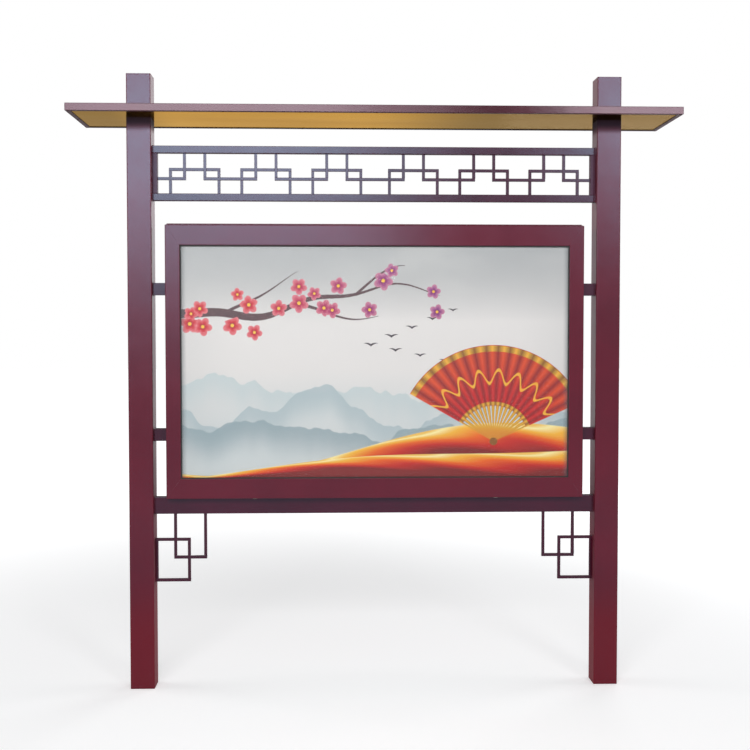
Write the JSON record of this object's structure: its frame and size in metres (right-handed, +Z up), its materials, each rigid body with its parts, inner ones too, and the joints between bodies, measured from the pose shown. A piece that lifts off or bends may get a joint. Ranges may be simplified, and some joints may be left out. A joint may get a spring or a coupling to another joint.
{
  "type": "light box billboard",
  "caption": "Outdoor poster light box between two square posts, with a flat canopy, a fretwork transom, fret corners under a lower rail and a front door that swings up on gas struts.",
  "frame": {"origin": "on the ground, midway between the two posts and on their centre plane", "axes": "+X along the board to the viewer's right, +Y to the back, +Z up; the poster faces -Y"},
  "size_m": [2.47, 0.41, 2.54],
  "materials": {
    "maroon_paint": "semi-gloss powder coat",
    "gold_sheet": "glossy gold coating",
    "zinc_steel": "zinc plated",
    "bare_aluminium": "mill finish",
    "clear_plastic": "clear moulded",
    "opal_plastic": "opal sheet",
    "black_plastic": "moulded",
    "black_rubber": "matt",
    "clear_glass": "polished",
    "printed_film": "satin print",
    "black_enamel": "satin black",
    "polished_rod": "polished",
    "bright_lock": "satin nickel"
  },
  "bodies": {
    "stand": {"left_post": "maroon_paint", "right_post": "maroon_paint", "post_caps": "maroon_paint", "foot_plates": "maroon_paint", "canopy_skin": "maroon_paint", "transom_bottom_rail": "maroon_paint", "transom_top_rail": "maroon_paint", "transom_stiles": "maroon_paint", "transom_standing_frets": "maroon_paint", "transom_hanging_frets": "maroon_paint", "lower_rail": "maroon_paint", "corner_fret_post_loops": "maroon_paint", "corner_fret_rail_loops": "maroon_paint", "box_stubs": "maroon_paint", "box_top_wall": "maroon_paint", "box_bottom_wall": "maroon_paint", "box_left_wall": "maroon_paint", "box_right_wall": "maroon_paint", "back_panel": "maroon_paint", "hinge_box_leaf": "maroon_paint", "canopy_bearers": "zinc_steel", "canopy_bolts": "zinc_steel", "stub_bolts": "zinc_steel", "hinge_pin": "zinc_steel", "strut_box_brackets": "zinc_steel", "lock_keepers": "zinc_steel", "canopy_soffit": "gold_sheet", "cable_gland": "black_plastic", "terminal_block": "black_plastic", "led_bars": "bare_aluminium", "led_drivers": "bare_aluminium", "led_modules": "clear_plastic", "door_seal": "black_rubber"},
    "door": {"door_top_rail": "maroon_paint", "door_bottom_rail": "maroon_paint", "door_left_stile": "maroon_paint", "door_right_stile": "maroon_paint", "door_corner_keys": "zinc_steel", "glass_gasket": "black_rubber", "front_glass": "clear_glass", "poster_sheet": "printed_film", "diffuser_panel": "opal_plastic", "panel_retainers": "zinc_steel", "hinge_door_leaf": "maroon_paint", "strut_door_brackets": "zinc_steel", "lock_barrels": "bright_lock", "lock_nuts": "zinc_steel"},
    "left_strut_tube": {"left_strut_tube": "black_enamel"},
    "left_strut_rod": {"left_strut_rod": "polished_rod"},
    "right_strut_tube": {"right_strut_tube": "black_enamel"},
    "right_strut_rod": {"right_strut_rod": "polished_rod"},
    "left_lock": {"left_lock_plug": "bright_lock", "left_lock_cam": "zinc_steel"},
    "right_lock": {"right_lock_plug": "bright_lock", "right_lock_cam": "zinc_steel"}
  },
  "joints": [
    {"name": "door_hinge", "type": "hinge", "parent": "stand", "child": "door", "pos_m": [0, -0.039, 1.927], "axis": [-1, 0, 0], "range_deg": [0, 70]},
    {"name": "left_strut_swing", "type": "hinge", "parent": "stand", "child": "left_strut_tube", "pos_m": [-0.83, 0.025, 1.367], "axis": [1, 0, 0], "range_deg": [0, 12.94]},
    {"name": "left_strut_slide", "type": "slide", "parent": "left_strut_tube", "child": "left_strut_rod", "axis": [0, -0.1017, 0.9948], "range_m": [0, 0.0871]},
    {"name": "right_strut_swing", "type": "hinge", "parent": "stand", "child": "right_strut_tube", "pos_m": [0.83, 0.025, 1.367], "axis": [1, 0, 0], "range_deg": [0, 12.94]},
    {"name": "right_strut_slide", "type": "slide", "parent": "right_strut_tube", "child": "right_strut_rod", "axis": [0, -0.1017, 0.9948], "range_m": [0, 0.0871]},
    {"name": "left_lock_turn", "type": "hinge", "parent": "door", "child": "left_lock", "pos_m": [-0.5, -0.058, 0.81], "axis": [0, 0, -1], "range_deg": [0, 90]},
    {"name": "right_lock_turn", "type": "hinge", "parent": "door", "child": "right_lock", "pos_m": [0.5, -0.058, 0.81], "axis": [0, 0, 1], "range_deg": [0, 90]}
  ],
  "couplings": [
    {"joint": "left_strut_swing", "follows": "door_hinge", "ratio": 0.18468},
    {"joint": "left_strut_slide", "follows": "door_hinge", "m_per_rad": 0.071165},
    {"joint": "right_strut_swing", "follows": "door_hinge", "ratio": 0.18468},
    {"joint": "right_strut_slide", "follows": "door_hinge", "m_per_rad": 0.071165}
  ]
}
